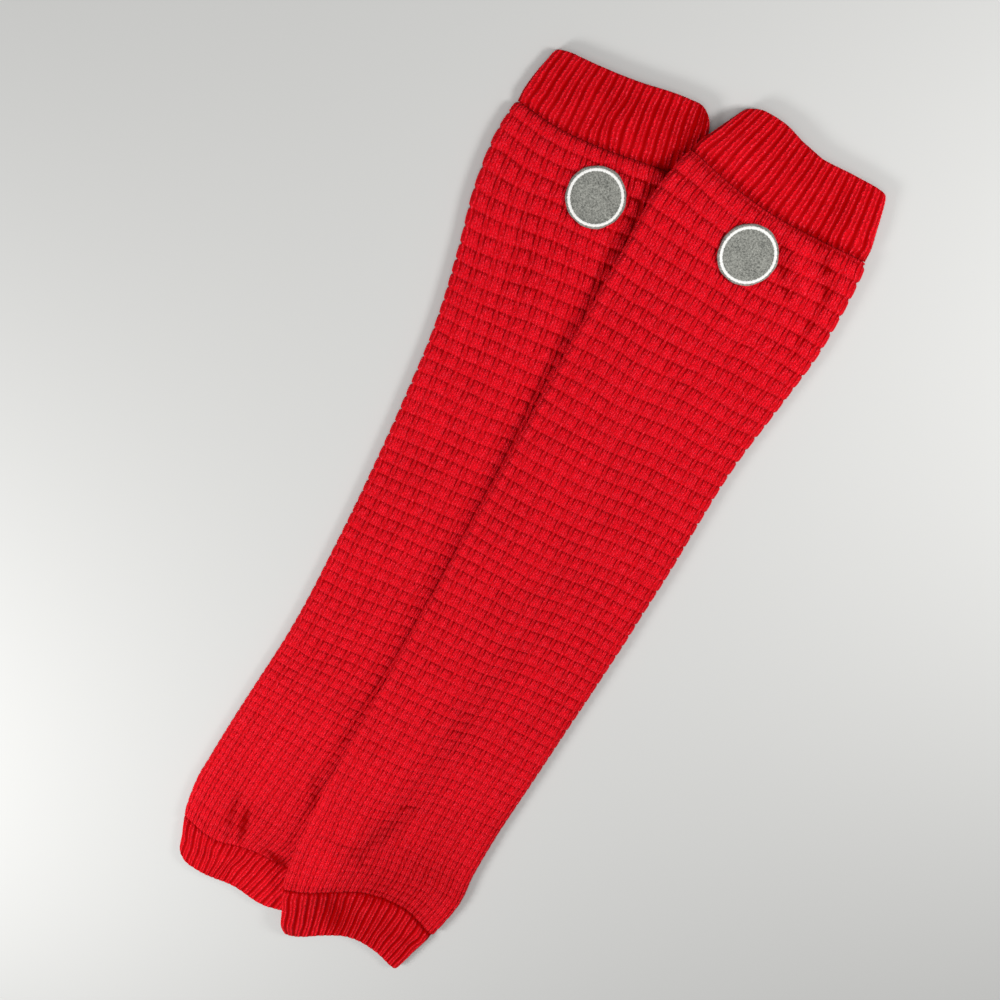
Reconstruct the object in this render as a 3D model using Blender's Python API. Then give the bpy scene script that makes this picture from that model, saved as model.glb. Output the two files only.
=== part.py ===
"""A pair of knit boot cuffs, laid flat with the right one lying over the left one.

Each is a tube of three knitted pieces, a top rib, a banded leg and an ankle rib, with a round
felt patch sewn on its front. Lengths are in millimetres up to the last step, where the solids
are written in metres. +Y runs along the legs to the top ribs, +X to the right, +Z up, and the
origin is at the middle of the pair's outline on the surface that it lies on.
"""
import math

import bmesh
import bpy
import numpy as np

METRES = 0.001

# Knit thickness: a leg's wall and bands, and a rib's wall and ribs
LEG_WALL = 2.4
LEG_HOLLOW = 0.6
BAND_RISE = 0.9
RIB_WALL = 1.8
RIB_HOLLOW = 0.8
RIB_RISE = 0.8
SEAM_GAP = 0.35

# Counts on one leg warmer
BANDS = 64
BAND_TAPER = 0.08
RIBS_ON_FACE = 20
POINTS_PER_RIB = 3
FOLD_STEPS = 4
INNER_LEG_RINGS = 21
OUTER_RIB_RINGS = 4
INNER_RIB_RINGS = 3
END_BAND_PROFILE = 0.5

# The upper panel's crown, and how the right leg warmer climbs over the left one
CROWN = 1.2
CROWN_POWER = 0.8
CROWN_FADE = 6.0
CREASE_SHARE_OF_HOLLOW = 0.3
REST_CLEARANCE = 0.6
RAMP_INSIDE = 1.5
RAMP_OUTSIDE = 14.0
UPPER_RAMP_INSIDE = 6.0
UPPER_RAMP_OUTSIDE = 22.0
RAMP_SOFT = 5.0
DROOP_START = 4.0
DROOP_LENGTH = 14.0
SEAM_STEP_LENGTH = 12.0

# Round patch
PATCH_RADIUS = 12.0
PATCH_THICKNESS = 1.2
PATCH_GAP = 0.45
PATCH_SIDES = 28
RING_BAND = (9.6, 9.95, 11.0, 11.35)
RING_RISE = 0.4

# Shares of a ring's width: between two places, left uncovered, where y is read, and at a corner
LEAST_STEP = 0.09
LEAST_UNCOVERED = 0.45
ACROSS = (0.0, 0.25, 0.5, 0.75, 1.0)
CORNER_REACH = 0.13
PLACES_ON_UNCOVERED = 5

SETTLE_ROUNDS = 4
SHARP_DEGREES = 50.0

# One row for each ring of knit that was measured, from the top edge down. x is the outermost
# place at each side. y is read at five places across, and a corner is a shift of y at a side.
COLUMNS = ("x_left", "x_right", "y_left", "y_quarter", "y_middle", "y_three_quarter", "y_right",
           "corner_left", "corner_right")
RIGHT_RINGS = (
    ("top_edge", 2.5, 67.5, 242.5, 242.2, 237.9, 238.0, 238.2, -3.0, -1.0),
    ("top_rib", -3.0, 71.8, 230.5, 228.5, 224.8, 224.8, 225.2, -1.0, 0.0),
    ("top_seam", -8.5, 75.2, 218.5, 214.0, 211.5, 211.7, 212.5, 0.0, 0.0),
    ("shin", -12.4, 77.4, 202.0, 199.0, 197.5, 197.8, 198.5, 0.0, 0.0),
    ("shin", -13.0, 79.0, 178.0, 176.0, 175.0, 174.5, 174.0, 0.0, 0.0),
    ("shin", -13.4, 77.6, 151.0, 150.5, 150.0, 150.0, 150.0, 0.0, 0.0),
    ("shin", -13.6, 75.0, 115.0, 115.0, 115.0, 115.0, 115.0, 0.0, 0.0),
    ("calf", -13.9, 76.2, 60.0, 60.0, 60.0, 60.0, 60.0, 0.0, 0.0),
    ("calf", -14.3, 76.6, 0.0, 0.0, 0.0, 0.0, 0.0, 0.0, 0.0),
    ("calf", -14.6, 76.0, -61.0, -60.5, -60.0, -59.5, -59.0, 0.0, 0.0),
    ("calf", -15.4, 75.6, -102.5, -101.5, -100.0, -99.0, -98.5, 0.0, 0.0),
    ("ankle", -16.0, 75.6, -130.0, -128.5, -125.0, -123.5, -123.0, 0.0, 0.0),
    ("ankle", -15.2, 76.5, -157.0, -154.0, -150.0, -148.5, -149.0, 0.0, 0.0),
    ("ankle", -14.0, 78.6, -184.0, -177.0, -172.0, -169.5, -172.5, 0.0, 0.0),
    ("ankle_seam", -10.8, 75.4, -207.5, -197.5, -188.8, -187.2, -197.5, 0.0, 0.0),
    ("ankle_rib", -5.0, 72.2, -226.0, -215.0, -206.0, -205.8, -215.0, 1.0, 0.5),
    ("bottom_edge", 1.5, 68.5, -247.0, -234.4, -224.0, -224.9, -233.0, 4.0, 1.5),
)
LEFT_RINGS = (
    ("top_edge", -71.8, -5.2, 227.8, 228.6, 230.3, 233.2, 234.6, -1.5, -6.0),
    ("top_rib", -75.0, -1.5, 215.3, 215.0, 216.8, 219.8, 221.5, 0.0, -1.5),
    ("top_seam", -77.0, 3.5, 203.7, 201.9, 203.3, 206.4, 208.5, 0.0, 0.0),
    ("shin", -79.0, 10.5, 187.5, 186.0, 186.5, 188.5, 191.0, 0.0, 0.0),
    ("shin", -77.6, 12.6, 167.0, 168.5, 170.5, 172.5, 174.5, 0.0, 0.0),
    ("shin", -73.6, 16.8, 146.0, 149.0, 152.0, 154.0, 156.0, 0.0, 0.0),
    ("shin", -68.6, 22.0, 114.0, 115.5, 117.5, 119.0, 120.5, 0.0, 0.0),
    ("calf", -65.8, 24.8, 59.0, 60.0, 61.0, 62.0, 63.0, 0.0, 0.0),
    ("calf", -65.5, 25.0, -3.0, -2.2, -1.5, -0.8, 0.0, 0.0, 0.0),
    ("calf", -67.8, 22.8, -64.5, -64.3, -64.0, -63.8, -63.5, 0.0, 0.0),
    ("calf", -71.0, 19.5, -95.0, -95.0, -95.0, -95.0, -95.0, 0.0, 0.0),
    ("ankle", -74.2, 16.4, -125.0, -126.5, -127.5, -126.5, -125.5, 0.0, 0.0),
    ("ankle", -76.7, 13.8, -153.0, -156.0, -159.0, -158.5, -157.0, 0.0, 0.0),
    ("ankle", -78.0, 12.0, -173.0, -177.0, -180.0, -179.0, -178.0, 0.0, 0.0),
    ("ankle_seam", -76.4, 5.0, -197.0, -202.3, -197.6, -198.0, -202.0, 0.0, 0.0),
    ("ankle_rib", -73.4, 3.2, -211.0, -215.5, -212.3, -214.2, -215.0, 1.5, 0.5),
    ("bottom_edge", -70.8, 1.2, -226.5, -228.7, -227.0, -230.4, -228.5, 6.0, 2.0),
)

# The largest soft troughs in the upper panels, each by its middle, size, turn and depth
CREASE_COLUMNS = ("x", "y", "length", "half_width", "turn_degrees", "depth")
RIGHT_CREASES = (
    (62.0, 181.0, 30.0, 6.0, -17.0, 1.1),
    (16.0, -125.0, 30.0, 6.0, 16.0, 0.8),
    (18.0, -160.0, 48.0, 9.0, 82.0, 0.9),
    (4.0, 207.0, 26.0, 5.0, -20.0, 0.7),
)
LEFT_CREASES = (
    (-46.0, -186.0, 30.0, 6.0, 95.0, 1.3),
    (-53.0, -165.0, 34.0, 6.0, 108.0, 0.8),
    (-61.0, -164.0, 24.0, 4.0, -17.0, 0.7),
    (-51.0, -142.0, 30.0, 5.0, -7.0, 0.6),
    (-52.0, 152.0, 46.0, 7.0, 14.0, 0.7),
)

RIGHT_PATCH = (31.8, 194.3)
LEFT_PATCH = (-31.8, 186.1)

KNIT_RED = (0.66, 0.008, 0.02, 1.0)
RIB_RED = (0.55, 0.006, 0.018, 1.0)
FELT_GREY = (0.21, 0.21, 0.19, 1.0)


def smooth_step(value):
    """0 below 0 and 1 above 1, with a soft rise between them."""
    value = np.clip(value, 0.0, 1.0)
    return value * value * (3.0 - 2.0 * value)


def curve_through(knots, values, place):
    """A smooth curve through the values at rising knots, read at one place or many."""
    knots = np.asarray(knots, float)
    values = np.asarray(values, float)
    slopes = np.gradient(values, knots)
    first = np.clip(np.searchsorted(knots, place, side="right") - 1, 0, len(knots) - 2)
    step = knots[first + 1] - knots[first]
    f = (place - knots[first]) / step
    rise = values[first + 1] - values[first]
    start = values[first] + slopes[first] * step * f * (1.0 - f) ** 2
    return start + rise * f * f * (3.0 - 2.0 * f) - slopes[first + 1] * step * f * f * (1.0 - f)


class LegWarmer:
    """One leg warmer's plan: where each ring of knit runs, and what lies under it."""

    def __init__(self, rings, creases, below=None, above_edge=None):
        table = np.array([row[1:] for row in rings])
        self.columns = {name: table[:, i] for i, name in enumerate(COLUMNS)}
        self.along = -self.columns["y_middle"]
        self.seams = {row[0]: row[COLUMNS.index("y_middle") + 1] for row in rings}
        self.creases = creases
        self.below = below
        self.above_edge = above_edge

    def read(self, column, y_middle):
        """A column of the table at the ring whose middle is at y_middle."""
        return curve_through(self.along, self.columns[column], -y_middle)

    def sides(self, y_middle):
        """The outermost x at the left and at the right of a ring."""
        return self.read("x_left", y_middle), self.read("x_right", y_middle)

    def outline(self, side, y):
        """The x of the left or right outline at a y, held level past the open edges."""
        ends = self.columns["y_" + side] + self.columns["corner_" + side]
        place = np.clip(-y, -ends[0], -ends[-1])
        return curve_through(-ends, self.columns["x_" + side], place)

    def crossing(self, other, side, y_middle):
        """The x where a ring of this leg warmer passes the other one's outline."""
        left, right = self.sides(y_middle)
        edge = other.outline(side, y_middle)
        for _ in range(SETTLE_ROUNDS):
            across = np.clip((edge - left) / (right - left), 0.0, 1.0)
            edge = other.outline(side, self.y_at(y_middle, across))
        return float(edge)

    def covered_from(self, y_middle):
        """The x from which the upper panel is under the other leg warmer."""
        left, right = self.sides(y_middle)
        edge = self.crossing(self.above_edge, "left", y_middle)
        width = right - left
        return min(max(edge, left + LEAST_UNCOVERED * width), right - LEAST_STEP * width)

    def y_at(self, y_middle, across):
        """A ring's y at places across it, where 0 is its left side and 1 its right side."""
        names = ("y_left", "y_quarter", "y_middle", "y_three_quarter", "y_right")
        row = [self.read(name, y_middle) for name in names]
        near_left = np.clip(1.0 - across / CORNER_REACH, 0.0, 1.0) ** 2
        near_right = np.clip(1.0 - (1.0 - across) / CORNER_REACH, 0.0, 1.0) ** 2
        corners = self.read("corner_left", y_middle) * near_left
        corners = corners + self.read("corner_right", y_middle) * near_right
        return curve_through(ACROSS, row, across) + corners

    def bed(self, x, y):
        """How high the lower and the upper panel are lifted by the leg warmer below.

        The lower panel goes up in a straight ramp, and the upper one more softly.
        """
        if self.below is None:
            return 0.0 * x, 0.0 * x
        lower = self.below
        past_edge = x - lower.outline("right", y)
        ramp = np.clip((RAMP_OUTSIDE - past_edge) / (RAMP_OUTSIDE + RAMP_INSIDE), 0.0, 1.0)
        soft_ramp = smooth_step((UPPER_RAMP_OUTSIDE - past_edge)
                                / (UPPER_RAMP_OUTSIDE + UPPER_RAMP_INSIDE))
        past_top = y - lower.seams["top_edge"] - DROOP_START
        past_bottom = lower.seams["bottom_edge"] - DROOP_START - y
        droop = smooth_step(1.0 - np.maximum(past_top, past_bottom) / DROOP_LENGTH)
        past_seam = np.maximum(y - lower.seams["top_seam"], lower.seams["ankle_seam"] - y)
        on_rib = smooth_step((past_seam - RAMP_SOFT) / SEAM_STEP_LENGTH)
        leg_top = 2.0 * LEG_WALL + LEG_HOLLOW + BAND_RISE
        rib_top = 2.0 * RIB_WALL + RIB_HOLLOW + RIB_RISE
        height = (leg_top + (rib_top - leg_top) * on_rib + REST_CLEARANCE) * droop
        return height * ramp, height * soft_ramp

    def crown(self, x, y, across):
        """Height that the upper panel rises by, less where a crease or a leg lies on it."""
        rise = CROWN * np.sin(math.pi * np.clip(across, 0.0, 1.0)) ** CROWN_POWER
        if self.above_edge is not None:
            edge = self.above_edge.outline("left", y)
            rise = rise * smooth_step((edge - CROWN_FADE * 0.5 - x) / CROWN_FADE)
        for row in self.creases:
            crease = dict(zip(CREASE_COLUMNS, row))
            turn = math.radians(crease["turn_degrees"])
            dx, dy = x - crease["x"], y - crease["y"]
            lengthwise = (dx * math.cos(turn) + dy * math.sin(turn)) / (crease["length"] * 0.5)
            sideways = (dy * math.cos(turn) - dx * math.sin(turn)) / crease["half_width"]
            trough = np.clip(1.0 - lengthwise**2, 0.0, 1.0) * np.exp(-(sideways**2))
            rise = rise - crease["depth"] * trough
        return np.maximum(rise, -CREASE_SHARE_OF_HOLLOW * LEG_HOLLOW)


def fold_arc(steps):
    """Angles round a fold, from its lowest point to the top."""
    return [math.pi * i / steps for i in range(steps + 1)]


def upper_points_for_leg(width, radius, inner_x):
    """Places over the top of a leg's section: x, z and the outward direction of each."""
    places = []
    for angle in fold_arc(FOLD_STEPS):
        places.append((radius - radius * math.sin(angle), radius - radius * math.cos(angle),
                       -math.sin(angle), -math.cos(angle)))
    for x in inner_x:
        places.append((x, 2.0 * radius, 0.0, 1.0))
    for angle in reversed(fold_arc(FOLD_STEPS)):
        places.append((width - radius + radius * math.sin(angle), radius - radius * math.cos(angle),
                       math.sin(angle), -math.cos(angle)))
    return places


def upper_points_for_rib(width, radius):
    """Places over the top of a rib's section, an equal step apart, three for each rib."""
    arc = math.pi * radius
    straight = width - 2.0 * radius
    count = RIBS_ON_FACE * POINTS_PER_RIB
    places = []
    for i in range(count + 1):
        run = (2.0 * arc + straight) * i / count
        if run < arc:
            angle = run / radius
            places.append((radius - radius * math.sin(angle), radius - radius * math.cos(angle),
                           -math.sin(angle), -math.cos(angle)))
        elif run <= arc + straight:
            places.append((radius + run - arc, 2.0 * radius, 0.0, 1.0))
        else:
            angle = (2.0 * arc + straight - run) / radius
            places.append((width - radius + radius * math.sin(angle),
                           radius - radius * math.cos(angle), math.sin(angle), -math.cos(angle)))
    return places


def panel_places(leg, y_middle):
    """The x of places across both panels, with the top and the foot of the ramp among them."""
    left, right = leg.sides(y_middle)
    if leg.below is None:
        covered = leg.covered_from(y_middle)
        steps = range(1, PLACES_ON_UNCOVERED + 1)
        spread = [left + (covered - left) * i / PLACES_ON_UNCOVERED for i in steps]
        return spread + [0.5 * (covered + right)]
    edge = leg.crossing(leg.below, "right", y_middle)
    least = LEAST_STEP * (right - left)
    top = min(max(edge - RAMP_INSIDE, left + 2.0 * least), right - 4.0 * least)
    foot = min(max(edge + RAMP_OUTSIDE, top + 2.0 * least), right - 2.0 * least)
    return [0.5 * (left + top), top, 0.5 * (top + foot), foot, foot + (right - foot) / 3.0,
            foot + (right - foot) * 2.0 / 3.0]


def facet_places(leg, y_middle):
    """The x of each point across a leg's own section, which a rib's end follows at their seam."""
    left, right = leg.sides(y_middle)
    radius = LEG_WALL + 0.5 * LEG_HOLLOW
    width = right - left - 2.0 * BAND_RISE
    places = leg_upper(leg, y_middle, left + BAND_RISE, width, radius)
    outer = [left + BAND_RISE + place[0] for place in places]
    return np.unique(np.round([left, *outer, right], 6))


def section(leg, y_middle, wall, hollow, rise, upper, profile, like_leg=0.0):
    """One ring of knit: its outer points and its inner points, in the pair's frame."""
    left, right = leg.sides(y_middle)
    radius = wall + 0.5 * hollow
    width = right - left - 2.0 * rise
    base_left = left + rise
    places = upper(leg, y_middle, base_left, width, radius)
    under = [(x - base_left, 0.0, 0.0, -1.0) for x in reversed(panel_places(leg, y_middle))]
    x, z, out_x, out_z = np.array(places + under).T
    is_top = np.array([True] * len(places) + [False] * len(under))
    heights = np.array([profile(i) for i in range(len(places))] + [0.0] * len(under))
    raised = rise * heights * smooth_step(z / radius)
    rings = []
    for offset in (raised, np.full(len(x), -wall)):
        ring_x = x + out_x * offset
        ring_z = z + out_z * offset
        across = (ring_x + rise) / (width + 2.0 * rise)
        world_x = base_left + ring_x
        world_y = leg.y_at(y_middle, across)
        if like_leg > 0.0:
            knots = (facet_places(leg, y_middle) - left) / (right - left)
            faceted = np.interp(across, knots, leg.y_at(y_middle, knots))
            world_y = world_y + like_leg * (faceted - world_y)
        lower_lift, upper_lift = leg.bed(world_x, world_y)
        upper_share = np.where(is_top, smooth_step(z / (2.0 * radius)), 0.0)
        lift = lower_lift + upper_share * (upper_lift - lower_lift)
        lift = lift + upper_share**2 * leg.crown(world_x, world_y, across)
        rings.append(np.stack([world_x, world_y, ring_z + lift], axis=1))
    return rings


def leg_upper(leg, y_middle, left, width, radius):
    """The places over a leg's section at a ring."""
    inner_x = [x - left for x in panel_places(leg, y_middle)]
    return upper_points_for_leg(width, radius, inner_x)


def rib_upper(leg, y_middle, left, width, radius):
    """The places over a rib's section at a ring, which are the same wherever it lies."""
    return upper_points_for_rib(width, radius)


def rib_profile(index):
    """0 in the furrow between two ribs and 1 on a rib."""
    return 0.0 if index % POINTS_PER_RIB == 0 else 1.0


def make_object(name, points, faces, material, collection, parent):
    """A closed mesh object with its own origin under its middle, shaded smooth."""
    points = np.asarray(points) * METRES
    origin = np.array([*(points.min(axis=0) + points.max(axis=0))[:2] * 0.5, 0.0])
    mesh = bpy.data.meshes.new(name)
    mesh.from_pydata((points - origin).tolist(), [], faces)
    shape = bmesh.new()
    shape.from_mesh(mesh)
    bmesh.ops.recalc_face_normals(shape, faces=shape.faces)
    shape.to_mesh(mesh)
    shape.free()
    mesh.shade_smooth()
    mesh.set_sharp_from_angle(angle=math.radians(SHARP_DEGREES))
    mesh.materials.append(material)
    item = bpy.data.objects.new(name, mesh)
    item.location = origin
    item.parent = parent
    collection.objects.link(item)
    return item


def loft_wall(outer, inner):
    """Points and faces of a tube's wall between its outer rings and its inner rings."""
    rings = outer + inner[::-1]
    count = len(rings[0])
    faces = []
    for a in range(len(rings)):
        b = (a + 1) % len(rings)
        for i in range(count):
            j = (i + 1) % count
            faces.append((a * count + i, a * count + j, b * count + j, b * count + i))
    return np.concatenate(rings), faces


def band_places(leg):
    """Middles of a leg's rings from its top seam to its ankle seam, with each one's height."""
    top = leg.seams["top_seam"] - 0.5 * SEAM_GAP
    length = top - leg.seams["ankle_seam"] - 0.5 * SEAM_GAP
    places = []
    for i in range(2 * BANDS + 1):
        f = i / (2.0 * BANDS)
        height = float(i % 2)
        if i in (0, 2 * BANDS):
            height = END_BAND_PROFILE
        places.append((top - length * f * (1.0 + BAND_TAPER * (1.0 - f)), height))
    return places


def make_leg(name, leg, material, collection, parent):
    """The banded tube between the two ribs."""
    outer = [section(leg, y, LEG_WALL, LEG_HOLLOW, BAND_RISE, leg_upper, lambda i, h=height: h)[0]
             for y, height in band_places(leg)]
    places = band_places(leg)
    inner = [section(leg, y, LEG_WALL, LEG_HOLLOW, BAND_RISE, leg_upper, lambda i: 0.0)[1]
             for y in np.linspace(places[0][0], places[-1][0], INNER_LEG_RINGS)]
    points, faces = loft_wall(outer, inner)
    return make_object(name, points, faces, material, collection, parent)


def make_rib(name, leg, seam, edge, material, collection, parent):
    """A ribbed tube from a seam of the leg out to its open edge."""
    seam_y, edge_y = leg.seams[seam], leg.seams[edge]
    outward = math.copysign(1.0, edge_y - seam_y)
    start = seam_y + outward * 0.5 * SEAM_GAP
    sections = []
    for count, which in ((OUTER_RIB_RINGS, 0), (INNER_RIB_RINGS, 1)):
        sections.append([section(leg, y, RIB_WALL, RIB_HOLLOW, RIB_RISE, rib_upper,
                                 rib_profile, (y - edge_y) / (start - edge_y))[which]
                         for y in np.linspace(start, edge_y, count)])
    points, faces = loft_wall(*sections)
    return make_object(name, points, faces, material, collection, parent)


def panel_top(leg, x, y):
    """Height of the crests of a leg's upper panel at a place, as its facets have it."""
    y_middle = y
    for _ in range(SETTLE_ROUNDS):
        left, right = leg.sides(y_middle)
        error = leg.y_at(y_middle, np.array((x - left) / (right - left))) - y
        y_middle = y_middle - float(error)
    ring = section(leg, y_middle, LEG_WALL, LEG_HOLLOW, BAND_RISE, leg_upper, lambda i: 1.0)[0]
    top = ring[: len(ring) - len(panel_places(leg, y_middle))]
    order = np.argsort(top[:, 0])
    high = top[order][top[order][:, 2] > LEG_WALL]
    return float(np.interp(x, high[:, 0], high[:, 2]))


def make_patch(name, leg, centre, material, collection, parent):
    """A round felt patch with a raised ring of stitching, on the crests of the upper panel."""
    bottom_radii = (0.5 * PATCH_RADIUS, PATCH_RADIUS)
    top_rings = [(PATCH_RADIUS, 0.0)]
    inner_edge, inner_top, outer_top, outer_edge = RING_BAND
    top_rings += [(outer_edge, 0.0), (outer_top, RING_RISE), (inner_top, RING_RISE),
                  (inner_edge, 0.0)]
    heights = [(radius, 0.0) for radius in bottom_radii]
    heights += [(radius, PATCH_THICKNESS + rise) for radius, rise in top_rings]
    points = [(*centre, panel_top(leg, *centre) + PATCH_GAP)]
    for radius, height in heights:
        for i in range(PATCH_SIDES):
            angle = 2.0 * math.pi * i / PATCH_SIDES
            x = centre[0] + radius * math.cos(angle)
            y = centre[1] + radius * math.sin(angle)
            points.append((x, y, panel_top(leg, x, y) + PATCH_GAP + height))
    points.append((*centre, panel_top(leg, *centre) + PATCH_GAP + PATCH_THICKNESS))
    faces = []
    last = len(points) - 1
    for i in range(PATCH_SIDES):
        j = (i + 1) % PATCH_SIDES
        faces.append((0, 1 + j, 1 + i))
        for k in range(len(heights) - 1):
            low, high = 1 + k * PATCH_SIDES, 1 + (k + 1) * PATCH_SIDES
            faces.append((low + i, low + j, high + j, high + i))
        rim = 1 + (len(heights) - 1) * PATCH_SIDES
        faces.append((rim + i, rim + j, last))
    return make_object(name, points, faces, material, collection, parent)


def make_material(name, colour, roughness):
    """A dyed textile: its colour, rough, not metallic."""
    material = bpy.data.materials.new(name)
    material.use_nodes = True
    shader = material.node_tree.nodes["Principled BSDF"]
    shader.inputs["Base Color"].default_value = colour
    shader.inputs["Roughness"].default_value = roughness
    shader.inputs["Metallic"].default_value = 0.0
    return material


def centre_pair(items):
    """Moves every piece alike, so that the origin is under the middle of the pair's box."""
    points = [item.matrix_world @ vertex.co for item in items for vertex in item.data.vertices]
    points = np.array(points)
    middle = (points.min(axis=0) + points.max(axis=0)) * 0.5
    for item in items:
        item.location.x -= middle[0]
        item.location.y -= middle[1]


def main():
    for item in list(bpy.data.objects):
        bpy.data.objects.remove(item, do_unlink=True)
    collection = bpy.data.collections.new("knit_boot_cuffs")
    bpy.context.scene.collection.children.link(collection)
    parent = bpy.data.objects.new("knit_boot_cuffs_pair", None)
    collection.objects.link(parent)

    right_plan = LegWarmer(RIGHT_RINGS, ())
    left = LegWarmer(LEFT_RINGS, LEFT_CREASES, above_edge=right_plan)
    right = LegWarmer(RIGHT_RINGS, RIGHT_CREASES, below=left)
    for side, leg, centre in (("left", left, LEFT_PATCH), ("right", right, RIGHT_PATCH)):
        make_leg(f"{side}_leg", leg, make_material(f"{side}_leg_knit", KNIT_RED, 0.9),
                 collection, parent)
        make_rib(f"{side}_top_rib", leg, "top_seam", "top_edge",
                 make_material(f"{side}_top_rib_knit", RIB_RED, 0.9), collection, parent)
        make_rib(f"{side}_ankle_rib", leg, "ankle_seam", "bottom_edge",
                 make_material(f"{side}_ankle_rib_knit", RIB_RED, 0.9), collection, parent)
        make_patch(f"{side}_patch", leg, centre, make_material(f"{side}_patch_felt", FELT_GREY, 0.95),
                   collection, parent)
    bpy.context.view_layer.update()
    centre_pair([item for item in collection.objects if item.type == "MESH"])


main()
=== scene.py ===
"""The looks of a pair of knit boot cuffs that lie flat, the right one over the left one.

The legs' waffle knit, the ribs' stitches and the felt patches are modelled on the same plan as
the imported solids. Lengths are in millimetres up to the meshes, which are written in metres.
"""
import math
from typing import NamedTuple

import bpy
import numpy as np
from mathutils import Matrix, Vector


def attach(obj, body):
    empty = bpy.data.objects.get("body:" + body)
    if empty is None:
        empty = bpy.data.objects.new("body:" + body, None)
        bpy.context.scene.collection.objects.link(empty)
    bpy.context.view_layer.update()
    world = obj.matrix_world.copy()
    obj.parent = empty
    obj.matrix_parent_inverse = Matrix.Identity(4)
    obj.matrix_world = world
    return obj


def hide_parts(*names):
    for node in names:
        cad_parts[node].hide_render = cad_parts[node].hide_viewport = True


METRES = 0.001

# Knit thickness, as in the solids
LEG_WALL = 2.4
LEG_HOLLOW = 0.6
BAND_RISE = 0.9
RIB_WALL = 1.8
RIB_HOLLOW = 0.8
RIB_RISE = 0.8

# Waffle knit: bands along a leg, cells round its upper side, and wales in a cell
BANDS = 64
BAND_TAPER = 0.08
RIGHT_CELLS = 15
LEFT_CELLS = 14
WALES_IN_CELL = 3
COURSES_IN_BAND = 4
CELL_PLACES = (0.0, 0.17, 0.34, 0.5, 0.66, 0.83, 1.0, 1.17, 1.5, 1.77, 2.0, 2.23, 2.5, 2.83)
BAND_PLACES = (0.0, 0.07, 0.15, 0.28, 0.46, 0.66, 0.86)
LEAST_PLACE = 0.03
INNER_LEG_RINGS = 8

# Where the pattern starts at the left side and at the top seam of a leg: wales, and bands
RIGHT_START = (1.23, -0.22)
LEFT_START = (0.57, 0.1)

# The narrow wale's long loop: its start above its band and its length, in bands, and in wales its
# half width where it is shut, how far it opens and its strand's half width
LOOP_ABOVE = 0.05
LOOP_LENGTH = 0.85
LOOP_SHUT = 0.1
LOOP_OPENS = 0.2
LOOP_STRAND = 0.17

# The waffle's form: heights and depths in shares of the bands' rise, and places and reaches in
# wales across and in bands along. A fade has a start and a length.
LOOP_HEIGHT = 0.82
KNOT_HEIGHT = 0.16
KNOT_PLACE = 0.88
KNOT_REACH = 0.1
HOLE_DEPTH = 0.3
HOLE_REACH = 0.16
BLOCK_HEIGHT = 0.84
BLOCK_SWELL = 0.16
BLOCK_START = 0.08
WALE_DIP = 0.26
WALE_DIP_REACH = 0.24
WALE_POWER = 1.5
SIDE_DRAWN_IN = 0.09
SIDE_REACH = 0.35
SIDE_SPREAD = 0.04
SIDE_DEPTH = 0.3
SIDE_DEPTH_AT_TOP = 0.85
SIDE_FADE = (0.36, 0.42)
BETWEEN_REACH = 0.28
BETWEEN_DEPTH = 0.22
BETWEEN_DEPTH_AT_TOP = 0.4
BETWEEN_FADE = (0.2, 0.34)
CROSS_REACH = 0.12
CROSS_REACH_OFF_WALE = 0.17
CROSS_REACH_ABOVE = 0.13
CROSS_DEPTH_ON_LOOP = 0.12
CROSS_DEPTH = 0.62
CROSS_DEPTH_OFF_WALE = 0.4
DEEPEST = -0.3

# How the legs' pattern fades towards the ankle: shares of the leg, and of the pattern's depth
ANKLE_START = 0.62
ANKLE_LENGTH = 0.3
ANKLE_FADE = 0.7
ANKLE_FURROW = 0.52

# Chance in a leg's knit: the spread of its furrows' depths, and layers of noise in its heights and
# in its slides across, in wales, and along, in millimetres. A layer has the bands and the wales
# from one random number to the next, and their spread. Ends and sides are held still.
CELL_SPREAD = 0.16
LEG_HEIGHT_NOISE = ((3.0, 4.0, 0.05),)
LEG_ACROSS_NOISE = ((1.0, 4.0, 0.05), (5.0, 6.0, 0.12))
LEG_ALONG_NOISE = ((1.5, 3.0, 0.2), (6.0, 9.0, 0.5))
LOOSE_FROM_END = 12.0
LOOSE_FROM_SIDE = 4.0

# Rib knit
RIBS_ON_FACE = 20
POINTS_PER_RIB = 12
RIB_COURSE = 1.55
RINGS_PER_COURSE = 6
INNER_RIB_RINGS = 6

# A rib's form by the distance from its middle, where 1 is half way to the next rib: its width and
# slope, its height, its stitches' arms, and the dip between its two strands
RIB_SHARE = 0.98
RIB_SLOPE = 0.62
RIB_BODY = 0.78
ARM_RISE = 0.22
ARM_SLOPE = 1.3
RIB_DIP = 0.46
RIB_DIP_REACH = 0.34

# How the ribs flatten and sink at the seam and flatten at the open edge, and less at the sides
RIB_AT_SEAM = 0.55
RIB_AT_EDGE = 0.4
RIB_LOW_AT_SEAM = 1.1
LOW_SHARE_AT_SIDE = 0.3
RIB_FADE = 6.0
EDGE_FADE = 2.5
LOW_FROM_SIDE = (0.5, 1.5)
STILL_AT_SIDE = 2.0

# Chance in a rib's knit, in layers as in a leg's, but by courses and ribs
RIB_DRIFT_NOISE = ((4.0, 1.0, 0.25),)
RIB_HEIGHT_NOISE = ((3.0, 1.5, 0.07),)
RIB_ACROSS_NOISE = ((6.0, 2.0, 0.09),)

# How many ribs the left ankle's ribs lean over by at their open edge, where the right leg
# presses, and how that rises and falls across them
LEFT_ANKLE_FAN = 1.7
FAN_RISE = (0.15, 0.5)
FAN_FALL = 0.3

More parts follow.
